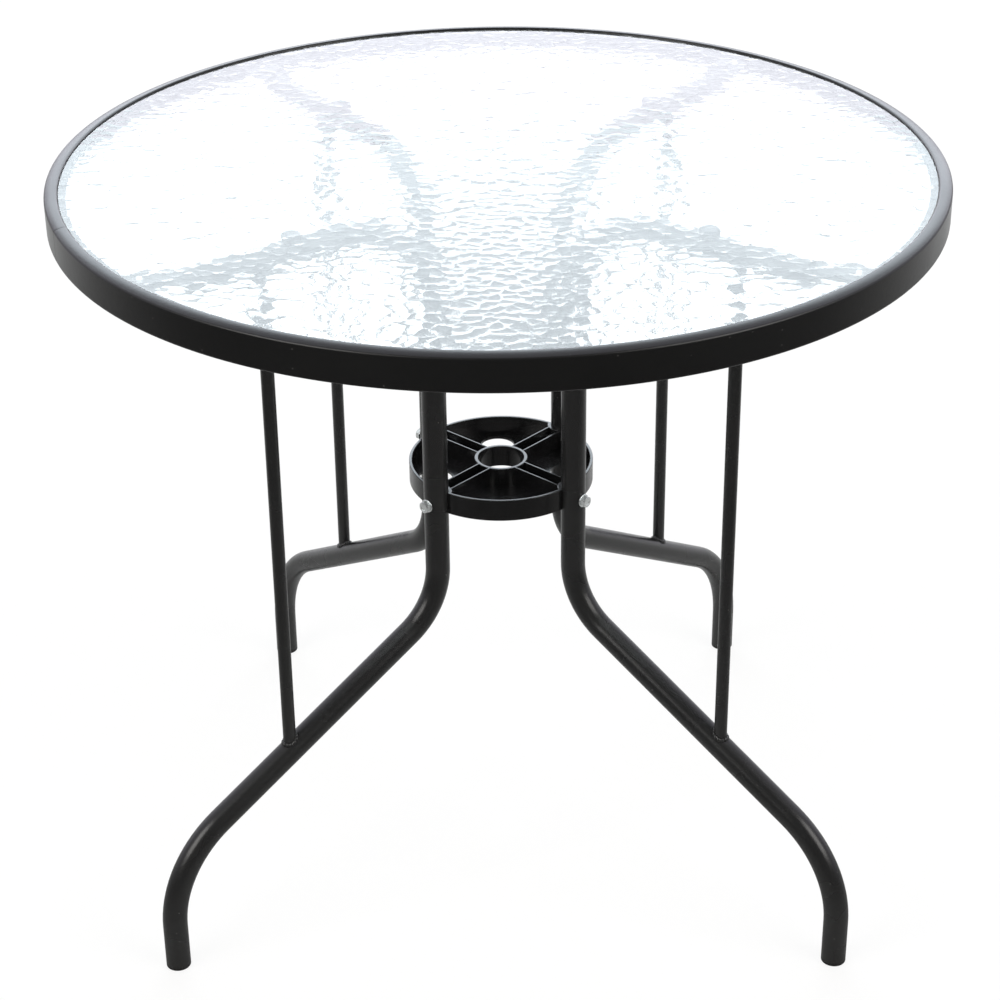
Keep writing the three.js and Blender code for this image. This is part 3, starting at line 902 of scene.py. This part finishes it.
def hub_moulding():
    inner = hub_radius - hub_wall
    wall = [(inner, hub_bottom), (hub_radius, hub_bottom), (hub_radius, hub_top), (inner, hub_top)]
    ring = turned("ring", softened(wall, [0, hub_edge, hub_edge, hub_edge]), hub_sides)
    collar_wall = [
        (collar_bore, hub_bottom),
        (collar_radius, hub_bottom),
        (collar_radius, hub_top),
        (collar_bore, hub_top),
    ]
    collar = turned("collar", softened(collar_wall, [hub_edge] * len(collar_wall)), collar_sides)
    plate = [
        (collar_middle, hub_bottom),
        (wall_middle, hub_bottom),
        (wall_middle, hub_bottom + hub_floor),
        (collar_middle, hub_bottom + hub_floor),
    ]
    bottom, top = hub_bottom - cut_overrun, hub_top + cut_overrun
    drains = []
    for diagonal, _ in corner_legs.values():
        drain = upright_bar("drain", drain_radius, bottom, top, bore_sides)
        between = diagonal + corner_turn
        drains.append(("DIFFERENCE", turned_to(drain, between, (drain_distance, 0, 0))))
    floor_plate = combine(turned("floor_plate", plate, hub_sides), drains)
    outside = [
        (wall_middle, bottom),
        (far_out, bottom),
        (far_out, top),
        (wall_middle, top),
    ]
    beyond = turned("beyond", outside, hub_sides)
    saddle_radius = tube_radius + seat_gap + hub_wall
    tools = []
    for diagonal, _ in corner_legs.values():
        place = (column_distance, 0, 0)
        bar = upright_bar("saddle", saddle_radius, hub_bottom, hub_top, bore_sides, hub_edge)
        saddle = combine(turned_to(bar, diagonal, place), [("DIFFERENCE", beyond.copy())])
        tools.append(("UNION", saddle))
        for edge in (-1, 1):
            tools.append(("UNION", turned_to(hub_rib(edge * rib_pitch / 2), diagonal)))
    tools += [("UNION", floor_plate), ("UNION", collar)]
    for diagonal, _ in corner_legs.values():
        column = upright_bar("column", tube_radius + seat_gap, bottom, top, bore_sides)
        tools.append(("DIFFERENCE", turned_to(column, diagonal, (column_distance, 0, 0))))
        hole_start = column_distance - screw_hole_length
        hole = upright_bar("hole", screw_hole, hole_start, column_distance, screw_hole_sides)
        hole.transform(Matrix.Rotation(pi / 2, 4, "Y"))
        hole.transform(Matrix.Translation((0, 0, (hub_bottom + hub_top) / 2)))
        tools.append(("DIFFERENCE", turned_to(hole, diagonal)))
    pan = turned_to(combine(ring, tools), hub_turn)
    settle_faces(pan)
    return pan


hub_plastic = moulded("hub_plastic", 0.14)
piece("hub_moulding", hub_moulding(), hub_plastic, "hub_plastic", "hub_pan")


# Screws, washers and nuts: bright zinc-plated steel. One screw goes through each column
# into the hub, where the ribs hold its nut, and one comes up through the rim's bracket.
def zinc():
    """Bright zinc plate, a little clouded and finely scratched."""
    plate = Finish(bpy.data.materials.new("zinc_plate"))
    place = plate.node("ShaderNodeTexCoord", out="Object")
    cloud = plate.noise(place, 350, 3)
    grain = plate.noise(place, 2600, 2)
    bump = {"Height": grain, "Strength": 0.25, "Distance": 0.0001}
    surface = {
        "Base Color": plate.blend(cloud, (0.74, 0.77, 0.77, 1), (0.95, 0.98, 0.98, 1)),
        "Metallic": 0.85,
        "Roughness": 0.14 + cloud * 0.16,
        "Normal": plate.node("ShaderNodeBump", sockets=bump),
    }
    plate.show(plate.node("ShaderNodeBsdfPrincipled", sockets=surface))
    return plate.owner


bright_zinc = zinc()
half_flats = 0.005
head_height = 0.004
nut_height = 0.005
shank_radius = 0.003
thread_pitch = 0.001
thread_depth = 0.0003
thread_length = 0.018
long_screw = 0.020
plain_shank = 0.0005
hex_sides = 72
chamfer = 0.94
dish_inner, dish_outer = 0.55, 0.62
dish_depth = 0.0004
nut_play = 0.00005
nut_lead = 0.0004


def hex_ring(height, corner_drop):
    """A ring round a six-sided shape. Its corners sink where a cone has turned them off."""
    ring = []
    for side in range(hex_sides):
        turn = 2 * pi * side / hex_sides
        from_flat = (turn + pi / 6) % (pi / 3) - pi / 6
        radius = half_flats / cos(pi / 6 - abs(from_flat))
        sunk = max(0, radius - half_flats * chamfer) * tan(radians(30)) * corner_drop
        ring.append((radius * cos(turn), radius * sin(turn), height - sunk))
    return ring


def hex_screw(name, length):
    """A screw along +Z, its head's underside at 0, with thread on the last of its shank."""
    flat = half_flats * chamfer
    head = [
        circle(flat * dish_inner, -head_height + dish_depth, hex_sides),
        circle(flat * dish_outer, -head_height, hex_sides),
        circle(flat, -head_height, hex_sides),
        hex_ring(-head_height, -1),
        hex_ring(0, 0),
    ]
    shank = [circle(shank_radius, 0, hex_sides)]
    thread_start = length - thread_length if length > long_screw else plain_shank
    steps = max(2, floor((length - thread_start) / thread_pitch) * 2)
    for step in range(steps):
        height = thread_start + (length - thread_start) * step / steps
        radius = shank_radius - (thread_depth if step % 2 else 0)
        shank.append(circle(radius, height, hex_sides))
    shank.append(circle(shank_radius - 2 * thread_depth, length, hex_sides))
    return loft(name, head + shank, "capped")


def hex_nut(name):
    """A nut along +Z from 0, chamfered at both faces."""
    flat = half_flats * chamfer
    rings = [
        circle(shank_radius + nut_play, nut_lead, hex_sides),
        circle(shank_radius + nut_lead, 0, hex_sides),
        circle(flat, 0, hex_sides),
        hex_ring(0, -1),
        hex_ring(nut_height, 1),
        circle(flat, nut_height, hex_sides),
        circle(shank_radius + nut_lead, nut_height, hex_sides),
        circle(shank_radius + nut_play, nut_height - nut_lead, hex_sides),
    ]
    return loft(name, rings, "joined")


washer_radius = 0.00625
washer_bore = 0.0033
washer_thickness = 0.0012
washer_rounds = [0.0002, 0.0004, 0.0004, 0.0002]
washer_sides = 64
washer = [
    (washer_bore, 0),
    (washer_radius, 0),
    (washer_radius, washer_thickness),
    (washer_bore, washer_thickness),
]
hub_screw_height = (hub_bottom + hub_top) / 2
washer_seat = column_distance + tube_radius + seat_gap
screw_seat = washer_seat + washer_thickness + seat_gap
nut_inner = column_distance - tube_radius - hub_wall - nut_height - 2 * seat_gap
tip_past_nut = 0.0012
screw_tip = nut_inner - tip_past_nut
rim_screw_distance = 0.2846
rim_screw_low, rim_screw_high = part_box("rim_screw_front_left")
rim_screw_seat = rim_screw_low.z + head_height

for corner, (diagonal, _) in corner_legs.items():
    spoke = Matrix.Rotation(diagonal + hub_turn, 4, "Z")
    at_height = Matrix.Translation((0, 0, hub_screw_height))
    outwards = Matrix.Rotation(pi / 2, 4, "Y")
    inwards = Matrix.Rotation(-pi / 2, 4, "Y")

    screw = hex_screw(f"hub_screw_{corner}", screw_seat - screw_tip)
    screw.transform(spoke @ at_height @ Matrix.Translation((screw_seat, 0, 0)) @ inwards)
    piece(f"column_screw_{corner}", screw, bright_zinc, "zinc", f"hub_screw_{corner}")

    ring = turned(f"hub_washer_{corner}", softened(washer, washer_rounds), washer_sides)
    ring.transform(spoke @ at_height @ Matrix.Translation((washer_seat, 0, 0)) @ outwards)
    piece(f"column_washer_{corner}", ring, bright_zinc, "zinc", f"hub_washer_{corner}")

    nut = hex_nut(f"hub_nut_{corner}")
    nut.transform(spoke @ at_height @ Matrix.Translation((nut_inner, 0, 0)) @ outwards)
    piece(f"column_nut_{corner}", nut, bright_zinc, "zinc", f"hub_nut_{corner}")

    screw = hex_screw(f"rim_screw_{corner}", rim_screw_high.z - rim_screw_seat)
    screw.transform(leg_matrix(corner) @ Matrix.Translation((rim_screw_distance, 0, rim_screw_seat)))
    piece(f"bracket_screw_{corner}", screw, bright_zinc, "zinc", f"rim_screw_{corner}")
